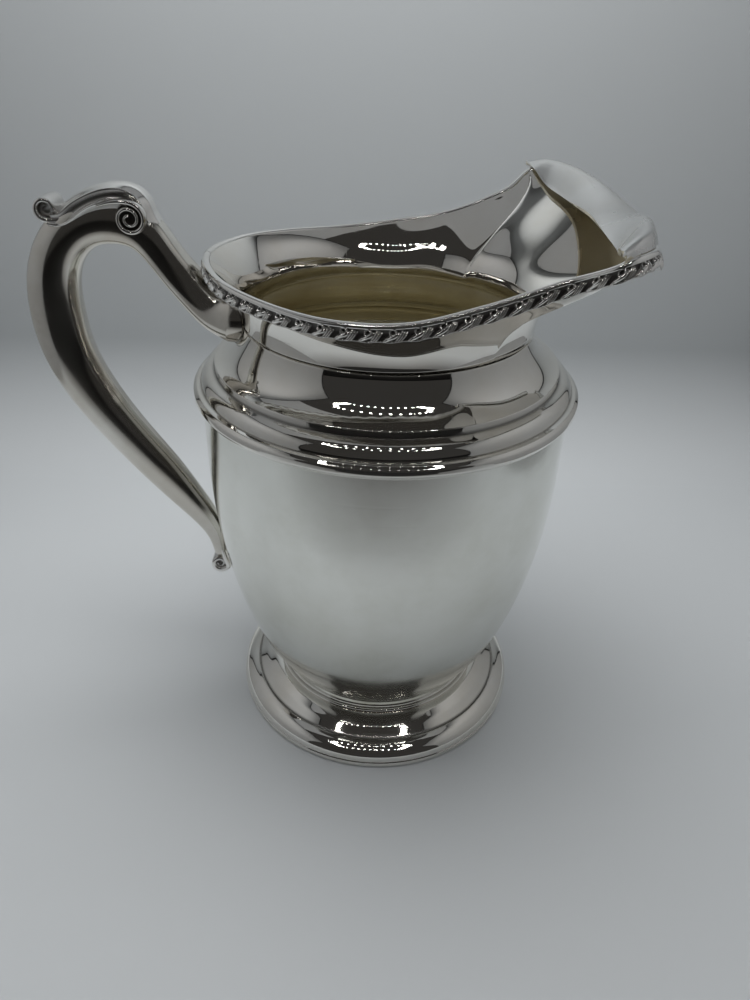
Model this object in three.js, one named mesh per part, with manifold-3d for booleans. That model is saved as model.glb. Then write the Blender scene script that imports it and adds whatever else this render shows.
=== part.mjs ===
// Silver-plated water pitcher with an ice guard. Millimetres, +Z up, spout toward +X, handle toward -X.
import * as THREE from 'three';
import { mergeVertices } from 'three/addons/utils/BufferGeometryUtils.js';
import Module from 'manifold-3d';
const wasm = await Module();
wasm.setup();

// Driving dimensions
const BODY_R = 68; // widest radius of the body wall
const BELT_Z = 146; // seam between lower and upper body
const NECK_R = 52; // narrowest radius of the neck
const NECK_RISE = 25; // the narrowest place lies this far above the seam
const FOOT_R = 61.4; // radius of the base ring
const FOOT_H = 14.3; // height of the foot's top, where the collar sits
const COLLAR_R = 42.6; // inner radius of the foot shell, under the collar
const WALL = 1.2; // sheet thickness
const FIT_GAP = 0.3; // clearance between two neighbouring pieces
const BEAD_OUT = 2.9; // how far the belt bead stands out from the wall
const BORDER_H = 4.7; // height of the ornament strip
const BORDER_T = 2.6; // depth of the ornament strip
const SPOUT_TIP_X = 92.5; // mouth edge at the spout tip, from the body axis
const GUARD_T = 1.0; // ice guard sheet
const GUARD_CROWN = 12; // rise of the guard above its edges
const POUR_SLOT = 3.5; // opening between guard and lip at the tip
const GRIP_T = 18.7; // handle thickness at the grip, in its own plane
const GRIP_W = 15.6; // handle width at the grip, across its plane
const PAD_T = 1.3; // solder plates under both ends of the handle
const HANDLE_REACH = 127; // furthest point of the handle from the body axis
const SEGMENTS = 48;
const NECK_SEGMENTS = 72; // the mouth edge and its ornament share these directions
const HANDLE_STEPS = 30; // stations along the handle
const HANDLE_SIDES = 14; // corners of its oval section
const NECK_Z = BELT_Z + NECK_RISE;
const NECK_INSET = BORDER_T - 1 + FIT_GAP; // neck wall behind the ornament strip
const AXIS_X = (HANDLE_REACH - SPOUT_TIP_X - 1) / 2; // centres the whole pitcher on x = 0

const root = new THREE.Group();
root.name = 'silver_water_pitcher';

function add(name, geometry, color, roughness = 0.16) {
  geometry.deleteAttribute('uv');
  geometry.deleteAttribute('normal');
  geometry.translate(AXIS_X, 0, 0);
  geometry.computeVertexNormals();
  const material = new THREE.MeshStandardMaterial({ color, metalness: 1, roughness });
  const mesh = new THREE.Mesh(geometry, material);
  mesh.name = name;
  root.add(mesh);
}

// A ring or dish: the [r, z] outline turned about the body axis.
function turned(outline) {
  const points = outline.map(([r, z]) => new THREE.Vector2(r, z));
  const onAxis = outline[0][0] === 0;
  if (!onAxis) points.push(points[0].clone());
  const g = new THREE.LatheGeometry(points, SEGMENTS);
  return g.rotateX(Math.PI / 2);
}

// Triangles between rows of points; wrapRows joins the last row to the first, else both ends are capped.
function skin(rows, wrapRows) {
  const m = rows[0].length;
  const verts = rows.flat();
  const index = [];
  const last = wrapRows ? rows.length : rows.length - 1;
  for (let i = 0; i < last; i++) {
    const a = i * m, b = ((i + 1) % rows.length) * m;
    for (let j = 0; j < m; j++) {
      const k = (j + 1) % m;
      index.push(a + j, b + j, b + k, a + j, b + k, a + k);
    }
  }
  if (!wrapRows) {
    capEnd(index, 0, m, false);
    capEnd(index, (rows.length - 1) * m, m, true);
  }
  const g = new THREE.BufferGeometry();
  g.setAttribute('position', new THREE.Float32BufferAttribute(verts.flat(), 3));
  g.setIndex(index);
  return g;
}

// Closes one end section, its outline and return path zipped together.
function capEnd(index, start, m, flip) {
  let a = 0, b = m - 1;
  while (b - a > 1) {
    const step = (b - a) % 2 === (m - 1) % 2;
    const tri = step ? [a, a + 1, b] : [a, b - 1, b];
    const [p, q, r] = tri.map((t) => start + t);
    index.push(...(flip ? [p, r, q] : [p, q, r]));
    if (step) a++; else b--;
  }
}

const spline = (points, closed) => new THREE.CatmullRomCurve3(
  points.map((p) => new THREE.Vector3(...p)), closed, 'catmullrom', 0.5);

const aboveNeck = ([x, y, rise]) => [x, y, NECK_Z + rise];

// Mouth edge: half of a symmetric closed curve, from the handle side round to the spout tip, each point
// with its rise above the narrowest place of the neck.
const HALF_RIM = [
  [-64.2, 0, 21.2], [-57, 26, 20.4], [-41, 44.5, 19], [-20, 57.3, 18], [3, 63.4, 19.6],
  [25, 60.6, 24.2], [46, 61.8, 32.4], [58.5, 69.5, 39.6], [70, 58.5, 40], [81, 33, 35.5],
  [SPOUT_TIP_X, 0, 24.5],
].map(aboveNeck);
const mirrorY = ([x, y, z]) => [x, -y, z];
const rimCurve = spline([...HALF_RIM, ...HALF_RIM.slice(1, -1).reverse().map(mirrorY)], true);

// Point and outward plan direction of the mouth edge at curve parameter t.
function rimAt(t) {
  const p = rimCurve.getPoint(t);
  const d = rimCurve.getTangent(t);
  const n = new THREE.Vector2(d.y, -d.x).normalize();
  if (n.x * p.x + n.y * p.y < 0) n.negate();
  return { p, n };
}

// Curve parameter where the mouth edge crosses the direction phi from the axis (0 = spout).
function rimParam(phi) {
  let lo = 0, hi = 0.5;
  const target = Math.PI - Math.abs(phi);
  for (let i = 0; i < 40; i++) {
    const mid = (lo + hi) / 2;
    const p = rimCurve.getPoint(mid);
    if (Math.PI - Math.atan2(Math.abs(p.y), p.x) < target) lo = mid; else hi = mid;
  }
  return phi >= 0 ? lo : (1 - lo) % 1;
}

// Neck wall above the neck line: a cubic from the round neck out to the mouth edge.
function flare(phi, t, inset, r0) {
  const { p, n } = rimAt(rimParam(phi));
  const a = new THREE.Vector3(r0 * Math.cos(phi), r0 * Math.sin(phi), NECK_Z);
  const d = new THREE.Vector3(p.x - n.x * inset, p.y - n.y * inset, p.z);
  const span = a.distanceTo(d);
  const b = a.clone().setZ(NECK_Z + 0.36 * span);
  const c = d.clone().add(new THREE.Vector3(-n.x * 0.66, -n.y * 0.66, -0.75).multiplyScalar(0.4 * span));
  return new THREE.CubicBezierCurve3(a, b, c, d).getPoint(t).toArray();
}

function shoulderNeck() {
  const Z = BELT_Z, B = BODY_R, N = NECK_R;
  const outer = [[B, Z + FIT_GAP], [B, Z + 3.6], [B - 1.3, Z + 6.2], [B - 5.3, Z + 9], [B - 5.4, Z + 10.6],
    [B - 10, Z + 12.7], [N + 2.8, Z + 15.2], [N + 0.6, Z + 20]];
  const inner = [[N - 0.6, Z + 19.8], [N + 1.9, Z + 14.3], [B - 10.4, Z + 11.5], [B - 6.8, Z + 9.6],
    [B - 6.7, Z + 8.2], [B - 2.6, Z + 5.4], [B - WALL, Z + 3.2], [B - WALL, Z + FIT_GAP]];
  const rows = [];
  for (let i = 0; i < NECK_SEGMENTS; i++) {
    const phi = (i / NECK_SEGMENTS) * 2 * Math.PI - Math.PI;
    const turn = ([r, z]) => [r * Math.cos(phi), r * Math.sin(phi), z];
    rows.push([
      ...outer.map(turn),
      ...[0, 0.25, 0.5, 0.75, 1].map((t) => flare(phi, t, NECK_INSET, N)),
      ...[1, 0.75, 0.5, 0.25, 0].map((t) => flare(phi, t, NECK_INSET + WALL, N - WALL)),
      ...inner.map(turn),
    ]);
  }
  return skin(rows, true);
}

function bodyBowl() {
  const B = BODY_R, W = WALL, F = FOOT_H;
  const outer = [[0, F - 6.1], [26, F - 5.5], [36, F - 2.1], [41.6, F + 2.7], [47.5, F + 11.5],
    [B - 14.9, 35.4], [B - 9.4, 51], [B - 5.1, 68], [B - 1.8, 88.4], [B, 108.8], [B, 129.2], [B, BELT_Z]];
  const inner = [[B - W, BELT_Z], [B - W, 129.2], [B - W, 109.2], [B - 3, 88.8], [B - 6.3, 68.6],
    [B - 10.6, 51.8], [B - 16, 36.2], [46.4, F + 12.3], [40.6, F + 3.7], [35.2, F - 0.9], [25.7, F - 4.3],
    [0, F - 4.9]];
  return turned([...outer, ...inner]);
}

function beltBead() {
  const r = BODY_R, z = BELT_Z, b = BEAD_OUT;
  return turned([[r + FIT_GAP, z - 1.4], [r + b - 1.1, z - 1.4], [r + b - 0.4, z - 0.6], [r + b, z + 0.6],
    [r + b - 0.1, z + 1.8], [r + b - 1, z + 2.9], [r + FIT_GAP, z + 3.2]]);
}

function footShell() {
  const F = FOOT_R, H = FOOT_H - FIT_GAP, z0 = 3 + FIT_GAP;
  return turned([[F - 0.4, z0], [F - 0.6, 4.8], [F - 1.8, 6.6], [F - 4, 8.1], [F - 7, 9], [F - 7.4, 9.6],
    [F - 7.5, 10.4], [F - 8.8, 11.9], [F - 11.6, H - 0.9], [F - 15, H - 0.2], [COLLAR_R, H],
    [COLLAR_R, H - 1.2], [F - 15.2, H - 1.4], [F - 12.2, H - 2], [F - 9.6, 10.9], [F - 8.8, 10],
    [F - 8.6, 8.3], [F - 7.4, 7.9], [F - 4.6, 7], [F - 2.8, 5.8], [F - 1.9, 4.4], [F - 1.7, z0]]);
}

function footBaseRing() {
  const F = FOOT_R;
  return turned([[F - 3, 0], [F - 0.2, 0], [F, 0.8], [F, 2.2], [F - 0.3, 3], [F - 3, 3]]);
}

function footCollar() {
  const z = FOOT_H, c = COLLAR_R;
  return turned([[c - 2.7, z + 0.6], [c - 2.3, z], [c + 2, z], [c + 2.3, z + 0.7], [c + 1.7, z + 1.4],
    [c + 1, z + 1.6], [c + 1, z + 2.1], [c + 0.5, z + 2.8], [c - 0.1, z + 3.1]]);
}

// Ornament strip along one side of the mouth edge, from near the handle to near the tip.
function rimBorder(side) {
  const H = BORDER_H, T = BORDER_T;
  const section = [[1 - T, 0], [0, 0], [1, -0.26 * H], [1, -0.76 * H], [0.2, -H], [-1.2, -0.94 * H],
    [0.7 - T, -0.55 * H]];
  const rows = [];
  const step = (2 * Math.PI) / NECK_SEGMENTS;
  for (let i = 0; i < NECK_SEGMENTS / 2; i++) {
    const phi = Math.PI - Math.max(i * step, 0.006);
    const { p, n } = rimAt(rimParam(side * phi));
    const row = section.map(([o, h]) => [p.x + n.x * o, p.y + n.y * o, p.z + h]);
    rows.push(side > 0 ? row : row.reverse());
  }
  return skin(rows, false);
}

// Free edge of the guard, from one ear to its middle, then mirrored.
const GUARD_EDGE = [[56.2, 66.2, 40.8], [60, 57.5, 38.6], [63, 49, 35.8], [66, 37, 34.8], [66.6, 22, 34.9]];
const GUARD_MIDDLE = [66.5, 0, 35.9];
const guardEdge = spline(
  [...GUARD_EDGE, GUARD_MIDDLE, ...[...GUARD_EDGE].reverse().map(mirrorY)].map(aboveNeck), false);

// Underside of the guard: v runs ear to ear, u from the free edge to the mouth edge.
function guardPoint(u, v, lift) {
  const e = guardEdge.getPoint((1 + v) / 2);
  const { p, n } = rimAt(0.5 + v * 0.158);
  const open = Math.max(0, 1 - (v / 0.38) ** 2) ** 2;
  const back = 2.4 + open;
  const r = new THREE.Vector3(p.x - n.x * back, p.y - n.y * back, p.z + FIT_GAP + POUR_SLOT * open);
  const c = e.clone().lerp(r, 0.8);
  c.z += GUARD_CROWN * (1 - Math.abs(v) ** 3) - 0.4 * POUR_SLOT * open;
  const q = new THREE.QuadraticBezierCurve3(e, c, r).getPoint(u);
  return [q.x, q.y, q.z + lift];
}

function iceGuard() {
  const rows = [];
  const us = [0, 0.16, 0.32, 0.48, 0.64, 0.8, 0.92, 1];
  for (let i = 0; i <= 26; i++) {
    const v = -1 + i / 13;
    const low = us.map((u) => guardPoint(u, v, 0));
    const top = us.map((u) => guardPoint(u, v, GUARD_T)).reverse();
    rows.push([...low, ...top].reverse());
  }
  return skin(rows, false);
}

// The handle's centre line in the plane y = 0: its tail stands off the bowl, its grip reaches furthest out
// at the height of the neck, and its upper end meets the neck.
const TAIL_X = -(BODY_R + 0.6), TAIL_Z = 67.5;
const GRIP_X = GRIP_T / 2 - HANDLE_REACH, GRIP_Z = NECK_Z - 1;
const END_X = -(NECK_R + 4.4);
const lower = (x, z) => [TAIL_X + (GRIP_X - TAIL_X) * x, TAIL_Z + (GRIP_Z - TAIL_Z) * z];
const upperX = (share) => GRIP_X + (END_X - GRIP_X) * share;
const upper = (x, rise) => [upperX(x), NECK_Z + rise];

// Stations of the centre line with thickness in the plane and width across it, tail to neck.
const HANDLE = [
  [TAIL_X, TAIL_Z, 6.4, 8], [TAIL_X - 0.8, TAIL_Z + 6.5, 7.4, 8.6], [TAIL_X - 4.4, TAIL_Z + 15.5, 9.8, 10],
  [...lower(0.22, 0.249), 12.4, 11.6], [...lower(0.375, 0.357), 14.8, 13], [...lower(0.565, 0.486), 15.9, 14],
  [...lower(0.734, 0.61), 16.8, 14.8], [...lower(0.877, 0.737), 17.9, 15.2],
  [...lower(0.97, 0.863), 18.6, GRIP_W],
  [GRIP_X, GRIP_Z, GRIP_T, GRIP_W], [...upper(0.024, 13), 17.6, 15.4], [...upper(0.115, 24), 16.4, 14.6],
  [...upper(0.262, 30.6), 15.2, 13.6], [...upper(0.412, 32), 14.4, 13], [...upper(0.549, 28.6), 13, 12.6],
  [...upper(0.641, 21.6), 12.2, 12.4], [...upper(0.722, 14.4), 12.6, 13], [...upper(0.82, 7.4), 13.6, 15],
  [...upper(0.915, 3), 15.8, 19], [...upper(1, 1.4), 18.4, 24],
];
const handleLine = new THREE.CatmullRomCurve3(
  HANDLE.map(([x, z]) => new THREE.Vector3(x, 0, z)), false, 'catmullrom', 0.5);
const handleSize = new THREE.CatmullRomCurve3(
  HANDLE.map(([, , t, w]) => new THREE.Vector3(t, w, 0)), false, 'catmullrom', 0.5);

// Point of the handle's oval section at parameter s, angle a from its outer side, shrunk by k.
function handlePoint(s, a, k) {
  const c = handleLine.getPoint(s), d = handleLine.getTangent(s), size = handleSize.getPoint(s);
  const out = (size.x / 2 - k) * Math.cos(a);
  return [c.x - d.z * out, (size.y / 2 - k) * Math.sin(a), c.z + d.x * out];
}

// Plan radius of the flare at height z, in the direction phi.
function flareRadius(phi, z) {
  let lo = 0, hi = 1;
  for (let i = 0; i < 24; i++) {
    const mid = (lo + hi) / 2;
    if (flare(phi, mid, NECK_INSET, NECK_R)[2] < z) lo = mid; else hi = mid;
  }
  const [x, y] = flare(phi, lo, NECK_INSET, NECK_R);
  return Math.hypot(x, y);
}

// Plan radius of the neck on the handle side at height z: the cove below the narrowest place, and above
// it the widest direction within the pad's width.
function neckBack(z) {
  const drop = NECK_Z - z;
  if (drop > 5) return NECK_R + 0.6 + (drop - 5) * 0.46;
  if (drop > 0) return NECK_R + drop * 0.12;
  return Math.max(...[0, 0.1, 0.2].map((turn) => flareRadius(Math.PI - turn, z)));
}

function handleHalf(side) {
  const rows = [];
  const steps = HANDLE_STEPS, arc = HANDLE_SIDES / 2;
  for (let i = 0; i <= steps; i++) {
    const row = [];
    for (const [k, count] of [[0, arc], [WALL, arc]]) {
      for (let j = 0; j <= count; j++) {
        const f = k ? 1 - j / count : j / count;
        const p = handlePoint(i / steps, f * Math.PI, k);
        p[1] = Math.max(p[1], 0) + FIT_GAP / 2;
        if (i === steps) p[0] = -Math.sqrt((neckBack(p[2]) + PAD_T + 2 * FIT_GAP) ** 2 - p[1] ** 2);
        row.push([p[0], p[1] * side, p[2]]);
      }
    }
    rows.push(side > 0 ? row : row.reverse());
  }
  return skin(rows, false);
}

function toManifold(g) {
  const mesh = new wasm.Mesh({
    numProp: 3,
    vertProperties: Float32Array.from(g.attributes.position.array),
    triVerts: Uint32Array.from(g.index.array),
  });
  return new wasm.Manifold(mesh);
}

function fromManifold(solid) {
  const mesh = solid.getMesh();
  const g = new THREE.BufferGeometry();
  g.setAttribute('position', new THREE.BufferAttribute(Float32Array.from(mesh.vertProperties), 3));
  g.setIndex([...mesh.triVerts]);
  return g;
}

// A closed three.js geometry as a solid that can be cut and joined.
function solid(geometry) {
  geometry.deleteAttribute('uv');
  geometry.deleteAttribute('normal');
  return toManifold(mergeVertices(geometry));
}

// Round bar across the handle plane.
function crossBar(x, z, r, halfWidth, sides = 18) {
  return solid(new THREE.CylinderGeometry(r, r, 2 * halfWidth, sides).translate(x, 0, z));
}

// Box centred on the handle plane, turned about Y by an angle in degrees.
function block(length, width, height, angle, x, z) {
  const turn = THREE.MathUtils.degToRad(angle);
  return solid(new THREE.BoxGeometry(length, width, height).rotateY(turn).translate(x, 0, z));
}

// Whole handle section from one station to another, grown by `grow`, as one solid.
function handleSweep(first, last, grow) {
  const rows = [];
  for (let i = first; i <= last; i++) {
    const row = [];
    for (let j = 0; j < HANDLE_SIDES; j++) {
      row.push(handlePoint(i / HANDLE_STEPS, (2 * Math.PI * j) / HANDLE_SIDES, -grow));
    }
    rows.push(row);
  }
  return toManifold(skin(rows, false));
}

// S-scroll: a saddle over the bend of the handle, a rolled end behind and a volute on each side.
function thumbScroll() {
  const saddle = handleSweep(17, 22, 2.6);
  const roll = crossBar(upperX(0.05), NECK_Z + 36.6, 4.4, 6.4);
  const tongue = block(10, 11, 4.4, 12, upperX(0.118), NECK_Z + 32.6);
  const volutes = crossBar(upperX(0.514), NECK_Z + 33.2, 5.3, 9.4);
  const below = block(60, 40, 30, -4, upperX(0.321), NECK_Z + 18.4);
  const under = block(60, 40, 30, 0, upperX(0.68), NECK_Z + 13.6);
  const tube = handleSweep(13, 26, FIT_GAP);
  const body = saddle.subtract(below).add(volutes).subtract(under).add(roll).add(tongue).subtract(tube);
  const parts = body.decompose().sort((a, b) => b.volume() - a.volume());
  return fromManifold(parts[0]);
}

// Rolled end of the handle's tail: a tongue against the pad that curls out into a small roll.
function tailScroll() {
  const tongue = new THREE.Shape();
  const x = TAIL_X, top = TAIL_Z - 2 * FIT_GAP;
  tongue.moveTo(x - 3.4, top);
  tongue.lineTo(x + 2.8, top);
  tongue.lineTo(x + 5.3, TAIL_Z - 10.5);
  tongue.quadraticCurveTo(x + 2.6, TAIL_Z - 12.7, x - 1, TAIL_Z - 11.1);
  tongue.absarc(x - 1.4, TAIL_Z - 6.6, 4.2, -1.4, 1.9, true);
  tongue.lineTo(x - 3.4, top);
  const g = new THREE.ExtrudeGeometry(tongue, { depth: 9, bevelEnabled: false, curveSegments: 10 });
  return g.translate(0, 0, -4.5).rotateX(Math.PI / 2);
}

// Curved plate lying on a wall given by its radius at height z.
function pad(radiusAt, z0, z1, width, thickness, steps) {
  const rows = [];
  for (let i = 0; i <= steps; i++) {
    const z = z0 + ((z1 - z0) * i) / steps;
    const taper = Math.sqrt(Math.max(0.12, 1 - (2 * i / steps - 1) ** 4));
    const row = [];
    const across = (j) => (width * taper * (j - 3)) / 6;
    for (let j = 0; j <= 6; j++) row.push(padPoint(radiusAt(z) + FIT_GAP, z, across(j)));
    for (let j = 6; j >= 0; j--) row.push(padPoint(radiusAt(z) + FIT_GAP + thickness, z, across(j)));
    rows.push(row.reverse());
  }
  return skin(rows, false);
}
const padPoint = (r, z, y) => [-Math.sqrt(r * r - y * y), y, z];

// Wall radius of the bowl where the handle's tail lies: straight between three heights of its outline.
function bowlBack(z) {
  if (z < 68) return BODY_R - 9.4 + ((z - 51) / 17) * 4.3;
  return BODY_R - 5.1 + ((z - 68) / 20.4) * 3.3;
}

const SILVER = 0xd8d6d0, DARK = 0x8e8b84;
add('body_bowl', bodyBowl(), SILVER);
add('shoulder_neck', shoulderNeck(), SILVER);
add('belt_bead', beltBead(), SILVER);
add('rim_border_left', rimBorder(1), DARK, 0.35);
add('rim_border_right', rimBorder(-1), DARK, 0.35);
add('ice_guard', iceGuard(), SILVER);
add('foot_collar', footCollar(), SILVER);
add('foot_shell', footShell(), SILVER);
add('foot_base_ring', footBaseRing(), SILVER);
add('handle_half_left', handleHalf(1), SILVER);
add('handle_half_right', handleHalf(-1), SILVER);
add('handle_thumb_scroll', thumbScroll(), DARK, 0.3);
add('handle_tail_scroll', tailScroll(), SILVER);
add('handle_upper_pad', pad(neckBack, NECK_Z - 7.4, NECK_Z + 10.6, 23, PAD_T, 8), SILVER);
add('handle_lower_pad', pad(bowlBack, TAIL_Z - 12.5, TAIL_Z + 11.5, 11, PAD_T, 6), SILVER);

export default root;
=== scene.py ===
"""Looks of the silver water pitcher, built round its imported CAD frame. The pitcher's lengths are
millimetres from the body axis (+x to the spout, +z up) until piece() moves them into the frame's metres.
The stage and the lights are in metres in the frame, and the camera in millimetres."""
import math
import bpy
import numpy as np
from mathutils import Matrix


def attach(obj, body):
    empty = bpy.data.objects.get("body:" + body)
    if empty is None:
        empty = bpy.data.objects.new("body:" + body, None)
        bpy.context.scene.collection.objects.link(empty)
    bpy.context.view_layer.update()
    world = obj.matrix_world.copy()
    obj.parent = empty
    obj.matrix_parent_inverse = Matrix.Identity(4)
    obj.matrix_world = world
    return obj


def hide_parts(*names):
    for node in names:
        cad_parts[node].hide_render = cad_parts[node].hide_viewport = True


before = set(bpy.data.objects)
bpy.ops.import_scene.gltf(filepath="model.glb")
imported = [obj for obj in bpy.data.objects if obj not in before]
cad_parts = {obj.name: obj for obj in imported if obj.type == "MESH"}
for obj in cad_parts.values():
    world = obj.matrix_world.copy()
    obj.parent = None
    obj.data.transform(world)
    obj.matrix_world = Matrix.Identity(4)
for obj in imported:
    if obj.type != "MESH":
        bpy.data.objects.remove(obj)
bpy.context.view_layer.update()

# ---------------------------------------------------------------- sizes, in mm
AXIS_X = 16.75          # body axis in the frame
BODY_R = 68.1           # widest radius of the body
BELT_Z = 146.0          # seam under the belt bead
NECK_R = 52.0           # narrowest radius of the neck
NECK_Z = 171.0          # height of that place
WALL = 1.1              # thickness of the spun sheet
SHEET_IN = 1.5          # the neck sheet's outer face lies this far inside the mouth line
MOTIF = 7.2             # length of one ornament motif
GUARD_T = 0.9           # thickness of the ice guard
TURNS = 288             # steps round a turned piece
MM = 0.001              # one millimetre in the frame's metres

# Mouth line from the handle's side round to the spout's tip: x, y, z
RIM_HALF = [(-64.2, 0, 192.2), (-57, 26, 191.4), (-41, 44.5, 190), (-20, 57.3, 189), (3, 63.4, 190.6),
            (25, 60.6, 195.2), (46, 61.8, 203.4), (58.5, 69.5, 210.6), (70, 58.5, 211), (79.6, 33, 206.2),
            (92.5, 0, 195.5)]

# Handle stations, tail to neck: x, z, thickness in its plane, width across it, squareness of the section
HANDLE = [(-68.4, 66.0, 5.6, 8.0, 2.2), (-69.4, 74, 7.4, 8.6, 2.2), (-73, 83, 9.8, 10, 2.2),
          (-79.4, 93, 12.4, 11.6, 2.2), (-87, 104.1, 14.8, 13, 2.2), (-96.3, 117.3, 15.9, 14, 2.2),
          (-104.6, 130, 16.8, 14.8, 2.2), (-111.6, 143, 17.9, 15.2, 2.2), (-116.2, 156, 18.6, 15.6, 2.2),
          (-117.7, 170, 18.7, 15.6, 2.2), (-116.2, 184, 17.6, 15.4, 2.2), (-110.6, 195, 16.4, 14.6, 2.3),
          (-101.6, 201.4, 16, 13.6, 2.4), (-92.4, 202.4, 15.8, 13, 2.5), (-84, 199.2, 14, 12.8, 2.7),
          (-78.4, 192.6, 12.2, 12.6, 3.0), (-73.4, 185.4, 12.2, 13.2, 3.0), (-67.6, 178.6, 13.2, 15.4, 2.8),
          (-61.6, 173.6, 16.0, 20, 2.5), (-55.0, 171.6, 20.0, 28, 2.3)]


# ---------------------------------------------------------------- curves
def through(points, closed=False, uniform=False):
    """A smooth line through points: a cubic on each stretch, with slope and bend equal where stretches
    meet and no bend at open ends. Returns a function of s in 0..1 (share of the length along it)."""
    p = np.array(points, float)
    if closed:
        p = np.concatenate([p, p[:1]])
    h = np.ones(len(p) - 1) if uniform else np.linalg.norm(np.diff(p, axis=0), axis=1)
    t = np.concatenate([[0], np.cumsum(h)])
    n = len(p)
    slope = np.diff(p, axis=0) / h[:, None]
    a, b = np.zeros((n, n)), np.zeros_like(p)
    i = np.arange(1, n - 1)
    a[i, i - 1], a[i, i], a[i, i + 1] = h[:-1], 2 * (h[:-1] + h[1:]), h[1:]
    b[i] = 6 * (slope[1:] - slope[:-1])
    if closed:
        a[0, 0], a[0, -1] = 1, -1
        a[-1, 0], a[-1, 1], a[-1, -2], a[-1, -1] = 2 * h[0], h[0], h[-1], 2 * h[-1]
        b[-1] = 6 * (slope[0] - slope[-1])
    else:
        a[0, 0] = a[-1, -1] = 1
    m = np.linalg.solve(a, b)

    def at(s):
        s = np.asarray(s, float) * t[-1]
        k = np.clip(np.searchsorted(t, s, side="right") - 1, 0, n - 2)
        w = ((s - t[k]) / h[k])[:, None]
        hk = h[k][:, None]
        bend = (w ** 3 - w) * m[k + 1] + ((1 - w) ** 3 - (1 - w)) * m[k]
        return p[k] * (1 - w) + p[k + 1] * w + bend * hk ** 2 / 6
    return at


def outline(corners, closed=False, spacing=1.3):
    """Straight runs between corners (r, z, radius), each corner rounded by an arc of its own radius;
    long runs are divided so that light turns only where the metal does."""
    xy = [np.array(c[:2], float) for c in corners]
    radius = [c[2] if len(c) > 2 else 0 for c in corners]
    n, out = len(xy), []
    for i, b in enumerate(xy):
        if radius[i] == 0 or (not closed and i in (0, n - 1)):
            out.append(b[None])
            continue
        u, v = xy[i - 1] - b, xy[(i + 1) % n] - b
        u, v = u / np.linalg.norm(u), v / np.linalg.norm(v)
        half = math.acos(np.clip(u @ v, -1, 1)) / 2
        centre = b + (u + v) / np.linalg.norm(u + v) * radius[i] / math.sin(half)
        start, end = b + u * radius[i] / math.tan(half) - centre, b + v * radius[i] / math.tan(half) - centre
        sweep = math.pi - 2 * half
        w = np.linspace(0, 1, max(4, int(sweep * 9)))[:, None]
        out.append(centre + (np.sin((1 - w) * sweep) * start + np.sin(w * sweep) * end) / math.sin(sweep))
    line = np.concatenate(out + ([out[0][:1]] if closed else []))
    steps = np.linalg.norm(np.diff(line, axis=0), axis=1)
    line = line[np.concatenate([[True], steps > 1e-6])]
    steps = steps[steps > 1e-6]
    along = np.concatenate([[0], np.cumsum(steps)])
    extra = [np.linspace(a, b, int((b - a) / spacing) + 1, endpoint=False) for a, b in zip(along, along[1:])]
    s = np.concatenate(extra + ([] if closed else [along[-1:]]))
    return np.stack([np.interp(s, along, line[:, 0]), np.interp(s, along, line[:, 1])], 1)


def bezier(a, b, c, d, t):
    """Cubic from a to d that leaves towards b and arrives from c. a..d are (n, 3), t is (m,): (m, n, 3)."""
    t = np.asarray(t)[:, None, None]
    return (1 - t) ** 3 * a + 3 * (1 - t) ** 2 * t * b + 3 * (1 - t) * t * t * c + t ** 3 * d


def unit(v):
    """Vectors along the last axis at length 1."""
    return v / np.linalg.norm(v, axis=-1, keepdims=True)


# ---------------------------------------------------------------- meshes
def shell(p, wrap_rows=False, darkening=0.0):
    """Grid p (rows, ring, 3) as a closed skin: quads between neighbours, each ring closed on itself. The
    rows close on themselves too, or the first and last ring are filled by a fan to their middle. Returns
    points, arrays of faces that point outwards, and for each point a darkening value of tarnish and painted
    shade."""
    rows, ring = p.shape[:2]
    index = np.arange(rows * ring).reshape(rows, ring)
    a = index if wrap_rows else index[:-1]
    b = np.roll(index, -1, 0) if wrap_rows else index[1:]
    quads = np.stack([a, b, np.roll(b, -1, 1), np.roll(a, -1, 1)], -1).reshape(-1, 4)
    points = p.reshape(-1, 3)
    tarnish_and_painted_shade = np.broadcast_to(np.asarray(darkening, float), (rows, ring)).reshape(-1)
    faces = [quads]
    if not wrap_rows:
        n = len(points)
        points = np.concatenate([points, p[[0, -1]].mean(1)])
        tarnish_and_painted_shade = np.append(tarnish_and_painted_shade, [tarnish_and_painted_shade[:ring].mean(), tarnish_and_painted_shade[-ring:].mean()])
        first, last = index[0], index[-1]
        low = np.stack([np.full(ring, n), first, np.roll(first, -1)], -1)
        high = np.stack([np.full(ring, n + 1), np.roll(last, -1), last], -1)
        faces.append(np.concatenate([low, high]))
    tri = np.concatenate([quads[:, :3], quads[:, [0, 2, 3]]] + faces[1:])
    v = points[tri]
    volume = np.einsum("ij,ij->i", v[:, 0], np.cross(v[:, 1], v[:, 2])).sum()
    if volume < 0:
        faces = [f[:, ::-1] for f in faces]
    return points, faces, tarnish_and_painted_shade


def turned(rz, darkening=0.0, closed=True):
    """Outline rz (n, 2) carried round the body axis: (r cos a, r sin a, z). The second argument is a
    darkening value of tarnish and painted shade for each point of the outline."""
    a = np.linspace(0, 2 * np.pi, TURNS, endpoint=False)[None]
    r, z = rz[:, 0][:, None], rz[:, 1][:, None]
    p = np.stack([r * np.cos(a), r * np.sin(a), z + 0 * a], -1)
    tarnish_and_painted_shade = np.broadcast_to(np.asarray(darkening, float).reshape(-1, 1), p.shape[:2])
    return shell(p, wrap_rows=closed, darkening=tarnish_and_painted_shade)


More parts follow.
